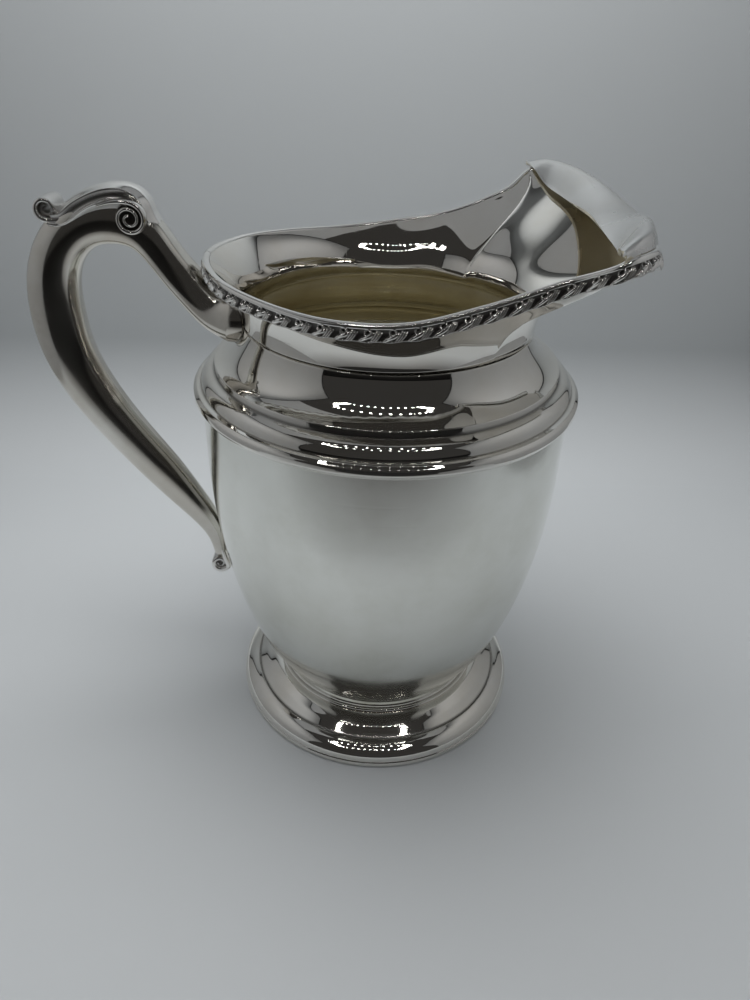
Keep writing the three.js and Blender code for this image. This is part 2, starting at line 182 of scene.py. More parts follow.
def piece(name, shells, nodes, materials, inside=None, sharp=None):
    """One object from closed skins, in the frame's metres, standing for its CAD nodes. inside gives each
    face's material from its middle in mm and its normal. sharp is the least angle of a hard edge."""
    points, faces, tarnish_and_painted_shade, base = [], [], [], 0
    for p, parts, g in shells:
        points.append(p)
        for part in parts:
            faces += (part + base).tolist()
        tarnish_and_painted_shade.append(g)
        base += len(p)
    points = np.concatenate(points)
    mesh = bpy.data.meshes.new(name)
    mesh.from_pydata(((points + [AXIS_X, 0, 0]) * MM).tolist(), [], faces)
    # Darkening for each point, tarnish and painted shade, that the materials mix in.
    recess = mesh.attributes.new("tarnish_and_painted_shade", "FLOAT", "POINT")
    recess.data.foreach_set("value", np.concatenate(tarnish_and_painted_shade).astype(np.float32))
    mesh.polygons.foreach_set("use_smooth", np.ones(len(faces), bool))
    for m in materials:
        mesh.materials.append(m)
    if inside is not None:
        centre, normal = np.zeros(len(faces) * 3), np.zeros(len(faces) * 3)
        mesh.polygons.foreach_get("center", centre)
        mesh.polygons.foreach_get("normal", normal)
        centre = centre.reshape(-1, 3) / MM - [AXIS_X, 0, 0]
        chosen = inside(centre, normal.reshape(-1, 3)).astype(np.int32)
        mesh.polygons.foreach_set("material_index", chosen)
    if sharp:
        mesh.set_sharp_from_angle(angle=math.radians(sharp))
    mesh.update()
    obj = bpy.data.objects.new(name, mesh)
    bpy.context.scene.collection.objects.link(obj)
    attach(obj, "root")
    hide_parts(*nodes)
    return obj


# ---------------------------------------------------------------- materials
def node(tree, kind, links=(), **values):
    """A node with its properties and input values set, and links made into its inputs."""
    n = tree.nodes.new(kind)
    for key, value in values.items():
        if hasattr(n, key):
            setattr(n, key, value)
        else:
            n.inputs[key.replace("_", " ")].default_value = value
    for socket, source in links:
        tree.links.new(source, n.inputs[socket])
    return n


def ramp(tree, source, stops):
    """Colour ramp on source, with stops (place, grey value or colour)."""
    n = node(tree, "ShaderNodeValToRGB", [("Fac", source)])
    ends = n.color_ramp.elements
    for i, (at, value) in enumerate(stops):
        e = ends[i] if i < 2 else ends.new(at)
        colour = [value] * 3 if np.isscalar(value) else value
        e.position, e.color = at, (*colour, 1)
    return n.outputs["Color"]


def math_node(tree, operation, a, b, clamp=False):
    """Math node on a and b, each a number or another node's output."""
    n = node(tree, "ShaderNodeMath", operation=operation, use_clamp=clamp)
    for i, value in enumerate((a, b)):
        if hasattr(value, "is_output"):
            tree.links.new(value, n.inputs[i])
        else:
            n.inputs[i].default_value = value
    return n.outputs[0]


def mix_colour(tree, factor, a, b):
    """Colour a mixed with b by the output factor. Sockets 6 and 7 are the node's colours, and output 2 is
    its mix."""
    n = node(tree, "ShaderNodeMix", data_type="RGBA")
    for i, value in ((0, factor), (6, a), (7, b)):
        if hasattr(value, "is_output"):
            tree.links.new(value, n.inputs[i])
        else:
            n.inputs[i].default_value = (*value, 1)
    return n.outputs[2]


OXIDE_AND_SHADE = (0.035, 0.03, 0.026)    # colour of the dark oxide film in recesses, also mixed in as painted shade in creases, grooves and joints
WAVES = 0.00002                 # depth of the faint waves that spinning leaves, in metres
# Stretch along x, y, z and turn of the noise that makes the scratches of each wiping direction
WIPING = (((2, 2, 90), (0.5, 0.2, 0.3)), ((90, 3, 3), (0.2, 0.7, 0.1)), ((3, 60, 6), (0.9, 0.1, 0.6)))


def worn_plate_group():
    """Silver plate in use: broad haze, wiped smears, hairline scratches in three directions, the faint
    waves that spinning leaves, and tarnish and painted shade in the recesses. Roughness is Gloss, plus Haze
    times the clouds of haze and smear, plus a little for scratches and more for the darkening input. Color is
    Silver, mixed with Stain where the haze and spots are strong, and with the dark oxide colour by the
    darkening input of tarnish and painted shade. Height is the waves less the scratches."""
    g = bpy.data.node_groups.new("worn_plate", "ShaderNodeTree")
    face = g.interface
    for name, kind, value in (("Silver", "NodeSocketColor", (0.9, 0.89, 0.86, 1)),
                              ("Stain", "NodeSocketColor", (0.5, 0.42, 0.28, 1)),
                              ("Stain Amount", "NodeSocketFloat", 0.1),
                              ("Gloss", "NodeSocketFloat", 0.08), ("Haze", "NodeSocketFloat", 0.1),
                              ("Tarnish And Painted Shade", "NodeSocketFloat", 0.0)):
        s = face.new_socket(name, in_out="INPUT", socket_type=kind)
        s.default_value = value
    for name, kind in (("Color", "NodeSocketColor"), ("Roughness", "NodeSocketFloat"),
                       ("Height", "NodeSocketFloat")):
        face.new_socket(name, in_out="OUTPUT", socket_type=kind)
    gi, go = g.nodes.new("NodeGroupInput"), g.nodes.new("NodeGroupOutput")
    place = node(g, "ShaderNodeTexCoord").outputs["Object"]

    def noise(scale, detail, rough, stretch=None, turn=None):
        vector = place
        if stretch:
            turned_place = node(g, "ShaderNodeMapping", [("Vector", place)], Scale=stretch, Rotation=turn)
            vector = turned_place.outputs[0]
        return node(g, "ShaderNodeTexNoise", [("Vector", vector)], Scale=scale, Detail=detail,
                    Roughness=rough).outputs["Fac"]

    haze = ramp(g, noise(26, 4, 0.6), [(0.38, 0), (0.72, 1)])
    smear = ramp(g, noise(9, 5, 0.65, (1, 1, 4), (0.5, 0.3, 0)), [(0.45, 0), (0.7, 1)])
    hairs = [ramp(g, noise(9, 2, 0.5, stretch, turn), [(0.66, 0), (0.72, 1)]) for stretch, turn in WIPING]
    lines = hairs[0]
    for hair in hairs[1:]:
        lines = math_node(g, "MAXIMUM", lines, hair)
    cloudy = math_node(g, "ADD", math_node(g, "MULTIPLY", haze, 0.6), math_node(g, "MULTIPLY", smear, 0.5))
    rough = math_node(g, "MULTIPLY", cloudy, gi.outputs["Haze"])
    rough = math_node(g, "ADD", rough, math_node(g, "MULTIPLY", lines, 0.015))
    rough = math_node(g, "ADD", rough, gi.outputs["Gloss"])
    rough = math_node(g, "ADD", rough, math_node(g, "MULTIPLY", gi.outputs["Tarnish And Painted Shade"], 0.32), clamp=True)
    spots = ramp(g, noise(55, 6, 0.7), [(0.5, 0), (0.8, 1)])
    blotches = math_node(g, "ADD", math_node(g, "MULTIPLY", spots, 0.6), haze)
    stained = math_node(g, "MULTIPLY", blotches, gi.outputs["Stain Amount"], clamp=True)
    colour = mix_colour(g, stained, gi.outputs["Silver"], gi.outputs["Stain"])
    colour = mix_colour(g, gi.outputs["Tarnish And Painted Shade"], colour, OXIDE_AND_SHADE)
    height = math_node(g, "ADD", math_node(g, "MULTIPLY", lines, -0.12), noise(70, 1, 0.5))
    for socket, source in (("Color", colour), ("Roughness", rough), ("Height", height)):
        g.links.new(source, go.inputs[socket])
    return g


PLATE = worn_plate_group()


def silver(name, tint=(0.9, 0.89, 0.865), stain=(0.55, 0.46, 0.30), stain_amount=0.1, gloss=0.05, haze=0.1,
           wave=WAVES, metallic=1.0):
    """One finish of the plate: the shared wear with its own values, and the piece's point attribute of
    tarnish and painted shade for its recesses. wave is the depth of the bump in metres."""
    m = bpy.data.materials.new(name)
    m.use_nodes = True
    t = m.node_tree
    bsdf = t.nodes["Principled BSDF"]
    bsdf.inputs["Metallic"].default_value = metallic
    g = t.nodes.new("ShaderNodeGroup")
    g.node_tree = PLATE
    for key, value in (("Silver", (*tint, 1)), ("Stain", (*stain, 1)), ("Stain Amount", stain_amount),
                       ("Gloss", gloss), ("Haze", haze)):
        g.inputs[key].default_value = value
    tarnish_and_painted_shade = node(t, "ShaderNodeAttribute", attribute_name="tarnish_and_painted_shade")
    t.links.new(tarnish_and_painted_shade.outputs["Fac"], g.inputs["Tarnish And Painted Shade"])
    t.links.new(g.outputs["Color"], bsdf.inputs["Base Color"])
    t.links.new(g.outputs["Roughness"], bsdf.inputs["Roughness"])
    bump = node(t, "ShaderNodeBump", [("Height", g.outputs["Height"])], Strength=1.0, Distance=wave)
    t.links.new(bump.outputs[0], bsdf.inputs["Normal"])
    return m


SILVER = silver("silver_polished", tint=(0.865, 0.85, 0.81), gloss=0.022, haze=0.035, stain_amount=0.2)
BODY = silver("silver_body", tint=(0.86, 0.87, 0.83), stain=(0.57, 0.57, 0.49), stain_amount=0.36, gloss=0.07,
              haze=0.17)
BRUSHED = silver("silver_guard_top", tint=(0.80, 0.80, 0.79), gloss=0.26, haze=0.08, stain_amount=0.1, wave=0)
INSIDE = silver("silver_yellowed_inside", tint=(0.84, 0.80, 0.64), stain=(0.55, 0.48, 0.30), stain_amount=0.8,
                gloss=0.16, haze=0.12, metallic=0.8)
# Underside of the guard: yellowed tarnish, plus painted light: its lighter tint and low metallic brighten it
# against the shade under the guard.
UNDER_GUARD_TARNISH_AND_PAINTED_LIGHT = silver("silver_yellowed_with_painted_light_under_guard", tint=(0.98, 0.92, 0.74), stain=(0.72, 0.62, 0.40),
                     stain_amount=0.35, gloss=0.2, haze=0.12, metallic=0.25)
GRIP = silver("silver_handled", tint=(0.76, 0.74, 0.69), stain=(0.42, 0.35, 0.26), stain_amount=0.45,
              gloss=0.1, haze=0.12)
MOUTH = silver("silver_mouth_inside", tint=(0.89, 0.87, 0.83), stain_amount=0.2, gloss=0.02, haze=0.03)
CAST = silver("silver_cast", gloss=0.11, haze=0.1, stain_amount=0.12)


# ---------------------------------------------------------------- mouth line
def tension_line(points, s):
    """Closed line through points whose slope at each is half the step between its two neighbours."""
    p = np.array(points, float)
    n = len(p)
    k = np.minimum((np.asarray(s) * n).astype(int), n - 1)
    w = (np.asarray(s) * n - k)[:, None]
    a, b, c, d = (p[(k + i) % n] for i in (-1, 0, 1, 2))
    m, q = (c - a) / 2, (d - b) / 2
    leaving = (2 * w ** 3 - 3 * w ** 2 + 1) * b + (w ** 3 - 2 * w ** 2 + w) * m
    return leaving + (3 * w ** 2 - 2 * w ** 3) * c + (w ** 3 - w ** 2) * q


RIM_STEPS = 4000        # steps round the mouth line
CALM_REACH = 150        # steps on either side that even out its outward direction
RIM_S = np.linspace(0, 1, RIM_STEPS + 1)
RIM_P = tension_line(RIM_HALF + [(x, -y, z) for x, y, z in RIM_HALF[-2:0:-1]], RIM_S)
RIM_ANGLE = np.unwrap(np.arctan2(RIM_P[:, 1], RIM_P[:, 0]))
RIM_T = unit(np.gradient(RIM_P, axis=0))
RIM_T[[0, -1]] = unit(RIM_P[1] - RIM_P[-2])
RIM_N = unit(np.stack([-RIM_T[:, 1], RIM_T[:, 0], 0 * RIM_S], -1))
if (RIM_N[0] @ RIM_P[0]) < 0:
    RIM_N = -RIM_N
# The outward direction, averaged with a bell-shaped weight over its neighbours on either side
CALM = np.exp(-np.linspace(-2.5, 2.5, 2 * CALM_REACH + 1) ** 2 / 2)
RIM_ROUND = np.concatenate([RIM_N[-CALM_REACH - 1:-1], RIM_N, RIM_N[1:CALM_REACH + 1]])
RIM_CALM = np.stack([np.convolve(RIM_ROUND[:, i], CALM, "valid") for i in range(3)], -1)
RIM_LENGTH = np.concatenate([[0], np.cumsum(np.linalg.norm(np.diff(RIM_P, axis=0), axis=1))])


def rim_at(values, key):
    """Mouth line points, their outward plan directions, and those directions evened out along the line,
    looked up by angle round the axis or by length."""
    table = RIM_ANGLE if key == "angle" else RIM_LENGTH
    order = slice(None) if table[-1] > table[0] else slice(None, None, -1)

    def pick(a):
        return np.stack([np.interp(values, table[order], a[order, i]) for i in range(3)], -1)
    return pick(RIM_P), unit(pick(RIM_N)), unit(pick(RIM_CALM))


# ---------------------------------------------------------------- body
WIDEST_Z = 115.4        # height where the bowl is widest
BOWL_DEPTH = 113.4      # from there down to the lowest point of its superellipse
DEPTH_POWER, RADIUS_POWER = 1.776, 3.04


def superellipse_wall(z):
    """Outer radius of the bowl: below its widest place w^1.776 + (r / R)^3.04 = 1, with w the share of the
    depth, and straight above it."""
    w = np.clip((WIDEST_Z - z) / BOWL_DEPTH, 0, 0.999)
    return BODY_R * (1 - w ** DEPTH_POWER) ** (1 / RADIUS_POWER)


def inward(line):
    """The same outline moved in, across its own direction, by the thickness of the sheet."""
    tangent = unit(np.gradient(line, axis=0))
    return line + np.stack([-tangent[:, 1], tangent[:, 0]], 1) * WALL


def bowl():
    """Spun bowl: a raised bottom and the superellipse wall outside, the same line moved in by the sheet's
    thickness inside, carried round the axis."""
    z = np.concatenate([np.linspace(17.2, 112, 90), np.linspace(114, BELT_Z, 20)])
    wall = np.stack([superellipse_wall(z), z], 1)
    middle_r = 2
    bottom = np.array([[middle_r, 9.0], [12, 9.0], [24, 9.1], [31, 9.9], [36, 11.7], [39.2, 14.2]])
    outer = np.concatenate([bottom, wall])
    inner = inward(outer)
    inner[:, 0] = np.maximum(inner[:, 0], middle_r)
    inner[-1, 1] = BELT_Z
    return turned(np.concatenate([outer, inner[::-1]]), closed=False)


STEP_CORNER = (62.9, 154.8)     # radius and height of the crease between the shoulder's two steps


def neck_outline():
    """Shoulder steps from the belt seam to the neck's narrowest place: ovolo, riser, nose and cove."""
    return outline([(BODY_R - 0.1, BELT_Z), (BODY_R - 0.1, 152.7, 4.9), (*STEP_CORNER, 0.25),
                    (62.75, 157.2, 0.55), (NECK_R, 160.6, 14.3), (NECK_R, NECK_Z)], spacing=1.0)


def flare_points(angle, t, inset, lift=0.0):
    """Neck wall above its narrowest place, at angles round the axis: one cubic from the round neck, which
    it leaves upright, to the line behind the ornament strip's lower edge. inset moves its upper end in
    from the mouth line, and lift its lower end in from the neck's radius."""
    p, n, calm = rim_at(angle, "angle")
    r = NECK_R - lift
    a = np.stack([r * np.cos(angle), r * np.sin(angle), NECK_Z + 0 * angle], -1)
    d = p - n * inset - [0, 0, 0.5]
    span = np.linalg.norm(d - a, axis=1)[:, None]
    b = a + span * [0, 0, 0.38]
    way = unit(calm * 0.66 + [0, 0, 0.75])
    return bezier(a, b, d - way * 0.4 * span, d, t), p, n


def neck():
    """Angles run round the axis; each ring of the grid is one closed section of sheet: shoulder steps,
    flare, upright edge behind the strip, then the same line back inside at the sheet's thickness."""
    angle = np.linspace(-np.pi, np.pi, 480, endpoint=False)
    steps = neck_outline()
    inner_steps = inward(steps)
    inner_steps[0, 1] = BELT_Z
    t = np.linspace(0, 1, 30)
    outer, p, n = flare_points(angle, t, SHEET_IN)
    inner, _, _ = flare_points(angle, t, SHEET_IN + WALL, WALL)

    def turn(rz):
        r = rz[:, :1]
        return np.stack([r * np.cos(angle), r * np.sin(angle), rz[:, 1:] + 0 * angle], -1)

    def lip(inset):
        return (p - n * inset - [0, 0, 0.2])[None]

    grid = np.concatenate([
        turn(steps)[:-1], outer, lip(SHEET_IN + 0.4), lip(SHEET_IN + WALL - 0.3),
        inner[::-1], turn(inner_steps)[:-1][::-1]])
    grid = grid.transpose(1, 0, 2)
    # Painted shade in the crease between the shoulder's two steps.
    crease = np.exp(-((steps - STEP_CORNER - [0, 0.1]) ** 2).sum(1) / 0.5) * 0.7
    tarnish_and_painted_shade = np.zeros(grid.shape[1])
    tarnish_and_painted_shade[:len(steps) - 1] = crease[:-1]
    return shell(grid, wrap_rows=True, darkening=tarnish_and_painted_shade[None])


def dark_crease(line, r, z, reach, strength):
    """Painted shade along an outline: strongest at the crease (r, z), falling as exp(-distance^2 / reach)."""
    return np.exp(-((line - [r, z]) ** 2).sum(1) / reach) * strength


def belt():
    """Half-round ring over the seam, its closed outline carried round the axis. Painted shade lies where it
    meets the body."""
    r = BODY_R
    line = outline([(r - 0.3, 144.5), (r + 1.8, 144.5, 0.5), (r + 2.85, 146.2, 0.9), (r + 2.8, 148.1, 1.1),
                    (r + 1.6, 149.2, 0.8), (r - 0.3, 149.6)], closed=True, spacing=0.4)
    return turned(line, darkening=np.exp(-(line[:, 0] - r) ** 2 / 0.12) * 0.6)


def foot():
    """Spun foot: two rounded slopes with a narrow groove between them, and the same line inside, carried
    round the axis."""
    line = outline([(61.2, 3.1), (61.2, 6.1, 4.4), (57.5, 8.4, 12), (54.75, 9.4, 0.15), (54.5, 9.0, 0.1),
                    (54.2, 9.75, 0.15), (50.5, 11.95, 14), (46.6, 13.75, 7), (44.5, 14.2), (41.9, 14.2),
                    (41.9, 13.0), (46.3, 12.6, 3), (50.3, 10.8, 8), (53.4, 8.7, 1), (57.2, 7.2, 6),
                    (60.0, 5.4, 3), (60.1, 3.1)], closed=True, spacing=0.5)
    # Painted shade in the narrow groove between the two slopes.
    return turned(line, darkening=dark_crease(line, 54.3, 9.6, 0.35, 0.8))


def foot_ring():
    """Thick band that the pitcher stands on, its outline carried round the axis. Painted shade lies on its
    top, against the foot."""
    line = outline([(58.2, 0.0, 0.2), (61.0, 0.0, 0.4), (61.4, 0.9, 0.4), (61.4, 2.5, 0.5), (60.9, 3.1),
                    (58.2, 3.1)], closed=True, spacing=0.5)
    return turned(line, darkening=(line[:, 1] > 2.9) * 0.6)


def collar():
    """Double ring between bowl and foot, its outline carried round the axis, with painted shade in the corner
    between its two steps."""
    line = outline([(40.6, 14.2), (44.6, 14.2, 0.2), (44.6, 15.5, 0.6), (43.5, 15.7, 0.2), (43.4, 17.1, 0.7),
                    (41.2, 17.5)], closed=True, spacing=0.3)
    return turned(line, darkening=dark_crease(line, 43.4, 15.7, 0.05, 0.8))


# ---------------------------------------------------------------- ornament strip
def motif(x, y):
    """Height of one leaf-and-scroll motif, 0..1, at x along the strip and y down it (mm): a slanted leaf, a
    hooked scroll over it and three slanted ribs, joined by taking the highest. Each leaf is half an
    ellipsoid and each rib half a cylinder along a bent line."""
    x = np.mod(x, MOTIF)

    def leaf(cx, cy, long, wide, tilt):
        c, s = math.cos(tilt), math.sin(tilt)
        u, v = ((x - cx) * c + (y - cy) * s) / long, (-(x - cx) * s + (y - cy) * c) / wide
        return np.sqrt(np.clip(1 - u * u - v * v, 0, 1))

    def rib(start, reach):
        down = y - 2.0
        off = (x - start) + down * 0.62 + 0.12 * down ** 2
        end = np.clip((y - 1.6 + reach) / 0.8, 0, 1)
        return np.clip(1 - (off / 0.33) ** 2, 0, 1) ** 0.5 * end * 0.8

    hook = np.hypot(x - 2.9, (y - 0.95) * 1.05)
    open_side = np.clip((x - 2.1) * 0.6 + (y - 0.5) * 1.2, 0, 1)
    hook = np.clip(1 - ((hook - 0.9) / 0.3) ** 2, 0, 1) ** 0.5 * (0.25 + 0.6 * open_side)
    ribs = [rib(4.9 + 0.75 * i, reach) for i, reach in enumerate((1.5, 1.2, 0.9))]
    leaves = [leaf(2.9, 2.3, 2.5, 0.9, -0.5), leaf(1.0, 3.2, 1.4, 0.65, -0.75) * 0.8]
    return np.maximum.reduce([*leaves, hook, *ribs])


FACE_H = 3.2            # height of the strip's face that holds the motifs
TIP_GAP = 6.5           # length of mouth line left free on each side of the spout's tip


def strip(side):
    """The cast strip along one side of the mouth. Each ring is its section: back, rounded wire on top,
    face with the motifs standing out of a sunk ground, lower lip. Rows follow the mouth by length, and
    section points are mouth point + outward direction times x + up times z."""
    half = RIM_LENGTH[-1] / 2
    length = np.linspace(0.1, half - TIP_GAP, 1500)
    p, n, _ = rim_at(length if side > 0 else RIM_LENGTH[-1] - length, "length")

    def full(v):
        return np.broadcast_to(v, (len(length), len(v)))

    wire = np.linspace(math.pi * 1.02, -0.25, 12)
    wx, wz = -1.35 + 1.3 * np.cos(wire), -0.75 + 1.15 * np.sin(wire)
    y = np.linspace(0.0, FACE_H, 34)
    relief = motif(length[:, None], y[None] + 0.15)
    ground = 0.35 * np.sin(np.pi * y / (FACE_H + 0.1))
    stand_out = 0.35 + 1.05 * np.sin(np.pi * (0.1 + 0.8 * y / FACE_H))
    face_x = -0.35 + 0.2 * y / FACE_H - ground + relief * stand_out
    scallop = 0.28 * np.cos(2 * np.pi * (length / MOTIF - 0.35))
    flat = 0 * length
    low_x = np.stack([0.25 + scallop * 0.5, 0.3 + scallop * 0.5, flat, flat - 2.4, flat - 5.0, flat - 2.3], 1)
    low_z = np.stack([-4.35 - scallop * 0.4, -4.6 - scallop * 0.5, -4.85 - scallop * 0.4, flat - 5.0,
                      flat - 4.7, flat - 1.2], 1)
    sx = np.concatenate([full(wx), face_x, low_x], 1)
    sz = np.concatenate([full(wz), full(-1.15 - y), low_z], 1)
    grid = p[:, None] + n[:, None] * sx[..., None] + sz[..., None] * [0, 0, 1]
    # The sunk ground between the motifs is darkened as tarnish and painted shade; the lower lip and back get
    # a little painted shade.
    fade = 1 - np.clip(relief / 0.55, 0, 1)
    tarnish_and_painted_shade = np.concatenate([full(0 * wx), fade * 0.9, np.full(low_x.shape, 0.25)], 1)
    return shell(grid, darkening=tarnish_and_painted_shade)


# ---------------------------------------------------------------- ice guard
# Free edge of the guard from one end to its middle: x, y, z
GUARD_HALF = [(56.4, 70.3, 212.4), (59.2, 60.5, 211.2), (61.8, 53, 208.0), (65.0, 43, 206.1),
              (66.6, 22, 205.9)]
guard_edge = through(GUARD_HALF + [(66.5, 0, 206.9)] + [(x, -y, z) for x, y, z in GUARD_HALF[::-1]])


EAR_X = 58.5            # where the guard's ends meet the mouth line
CROWN = 16.0            # rise of the guard's middle over its two edges
SLOT_V = 0.38           # share of the guard's breadth over which its tip stays clear of the lip


def guard():
    """The visor: v runs from ear to ear and u from the free edge to the mouth. Each u-line is the curve
    (1-u)^2 e + 2u(1-u) c + u^2 r that leaves the free edge at e, bulges up over the spout towards c and
    comes down inside the mouth wire at r. Its top lies a sheet's thickness above, with a bead at e."""
    v = np.linspace(-1, 1, 260)
    u = np.concatenate([np.linspace(0, 0.06, 4), np.linspace(0.09, 1, 56)])
    e = guard_edge((1 - v) / 2)
    one_side = slice(RIM_STEPS // 8, RIM_STEPS // 2 + 1)
    ear = np.interp(EAR_X, RIM_P[one_side, 0], RIM_LENGTH[one_side])
    half = RIM_LENGTH[-1] / 2
    p, n, _ = rim_at(half - v * (half - ear), "length")
    slot = np.clip(1 - (v / SLOT_V) ** 2, 0, 1)[:, None] ** 2
    r = p - n * (2.4 + 0.6 * slot) + [0, 0, 0.35] + slot * [0, 0, 1.2]
    crown = (1 - np.abs(v) ** 3)[:, None]
    c = 0.2 * e + 0.8 * r + [0, 0, 1] * (CROWN * crown - 1.2 * slot)
    w = u[None, :, None]
    under = (1 - w) ** 2 * e[:, None] + 2 * w * (1 - w) * c[:, None] + w * w * r[:, None]
    normal = unit(np.cross(np.gradient(under, axis=1), np.gradient(under, axis=0)))
    normal *= np.sign(normal[len(v) // 2, len(u) // 2, 2])
    bead = 1 + 0.35 * np.exp(-(u / 0.02) ** 2)
    top = under + normal * GUARD_T * bead[None, :, None]
    return shell(np.concatenate([under, top[:, ::-1]], 1))


# ---------------------------------------------------------------- handle
SEAM = 0.02             # half the gap between the handle's halves
HANDLE_SIZE = through([(x, 0, z, t, w, q) for x, z, t, w, q in HANDLE])


def handle_frame(s):
    """Centre, outward direction, and thickness, width and squareness of the handle at shares s along it."""
    q = HANDLE_SIZE(s)
    d = unit(np.gradient(q[:, :3], axis=0))
    out = np.stack([-d[:, 2], 0 * s, d[:, 0]], -1)
    return q[:, :3], out, q[:, 3] / 2, q[:, 4] / 2, q[:, 5]


def back_line():
    """Radius and height of the wall on the handle's side, from the shoulder's nose up to the mouth."""
    flare, _, _ = flare_points(np.array([np.pi]), np.linspace(0, 1, 60), SHEET_IN)
    line = np.concatenate([neck_outline()[:-1], np.stack([-flare[:, 0, 0], flare[:, 0, 2]], 1)])
    return line[line[:, 1] > 157.3]


BACK_LINE = back_line()


def neck_back(z):
    """Outer radius of the body on the handle's side at height z."""
    return np.interp(z, BACK_LINE[:, 1], BACK_LINE[:, 0])


def handle_half(side):
    """Half of the hollow handle: the half section |out/a|^q + |across/b|^q = 1 carried along the centre
    line, closed by the flat seam face, its upper end lying on the neck and its lower on the body."""
    s = np.linspace(0, 1, 260)
    c, out, a, b, q = handle_frame(s)
    t = np.concatenate([np.linspace(0, np.pi, 40), [np.pi, 0]])
    round_part = np.concatenate([np.ones(40), np.zeros(2)])
    k = 2 / q[:, None]
    co = np.sign(np.cos(t)) * np.abs(np.cos(t)) ** k
    si = np.abs(np.sin(t)) ** k * round_part
    grid = c[:, None] + out[:, None] * (a[:, None] * co)[..., None]
    grid[..., 1] = side * (b[:, None] * si + SEAM)
    wall = -np.sqrt((neck_back(grid[..., 2]) + 0.5) ** 2 - grid[..., 1] ** 2)
    reach = np.minimum(grid[..., 0], wall)
    near_neck, at_neck = s[:, None] > 0.9, s[:, None] == 1
    grid[..., 0] = np.where(near_neck, np.where(at_neck, wall, reach), grid[..., 0])
    skin = -np.sqrt((superellipse_wall(grid[..., 2]) + 0.7) ** 2 - grid[..., 1] ** 2)
    near_body = grid[..., 2] < 90
    grid[..., 0] = np.where(near_body, np.minimum(grid[..., 0], skin), grid[..., 0])
    return shell(grid)


def rolled(path, thick, half_width, power=4.0, tarnish_and_painted_shade=0.0, y0=0.0):
    """A band of metal carried along a flat path in the handle's plane: its section is a rounded bar,
    |out / (thick/2)|^power + |across / half_width|^power = 1, its middle y0 off the plane."""
    d = unit(np.gradient(path, axis=0))
    out = np.stack([-d[:, 1], d[:, 0]], -1)
    t = np.linspace(0, 2 * np.pi, 28, endpoint=False)
    k = 2 / power
    co, si = np.sign(np.cos(t)) * np.abs(np.cos(t)) ** k, np.sign(np.sin(t)) * np.abs(np.sin(t)) ** k
    flat = path[:, None] + out[:, None] * (np.asarray(thick)[:, None] / 2 * co)[..., None]
    y = y0 + np.asarray(half_width)[:, None] * si
    grid = np.stack([flat[..., 0], y, flat[..., 1]], -1)
    return shell(grid, darkening=np.broadcast_to(np.reshape(tarnish_and_painted_shade, (-1, 1)), y.shape))


def spiral(centre, start, turns, r0, r1, count):
    """Points on a curl: the radius shrinks evenly from r0 to r1 while the angle turns from start."""
    w = np.linspace(0, 1, count)
    a = math.radians(start) + w * turns * 2 * math.pi
    r = r0 + (r1 - r0) * w
    return np.stack([centre[0] + r * np.cos(a), centre[1] + r * np.sin(a)], -1)


